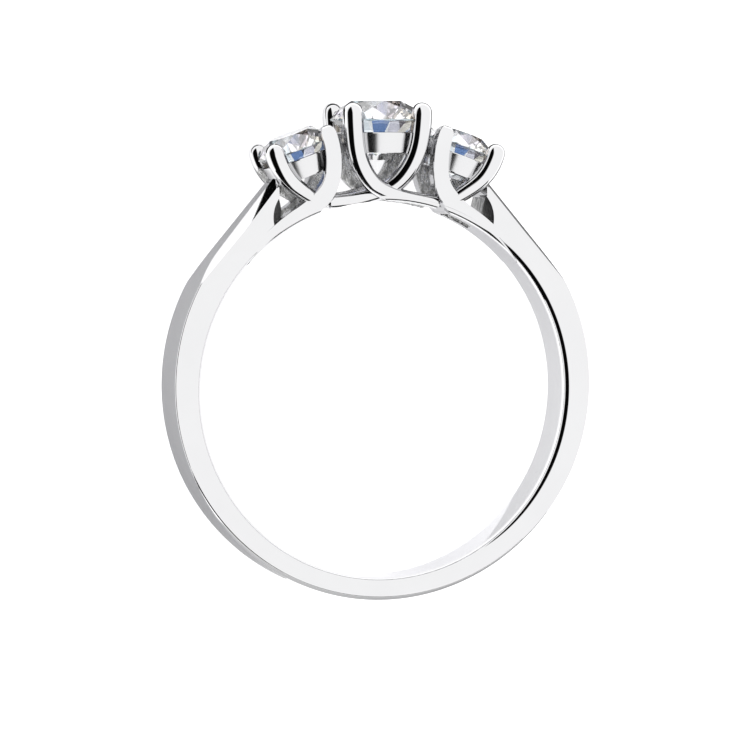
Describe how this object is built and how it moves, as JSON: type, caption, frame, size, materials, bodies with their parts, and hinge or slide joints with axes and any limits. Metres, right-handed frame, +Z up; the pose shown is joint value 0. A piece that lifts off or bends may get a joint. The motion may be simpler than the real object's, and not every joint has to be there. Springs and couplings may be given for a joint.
{
  "type": "diamond engagement ring",
  "caption": "Polished white-metal finger ring with a large round diamond between two smaller ones, in crossing prongs on a plain band.",
  "frame": {"origin": "middle of the ring's outline, on the surface it lies on", "axes": "+Z up from the surface and close to the finger's line, +Y towards the stones, +X across the ring along the row of stones"},
  "size_m": [0.0188, 0.0218, 0.0041],
  "materials": {
    "white_gold": "polished",
    "diamond": "polished facets"
  },
  "bodies": {
    "root": {"ring_mount": "white_gold", "centre_diamond": "diamond", "left_diamond": "diamond", "right_diamond": "diamond"}
  },
  "joints": []
}
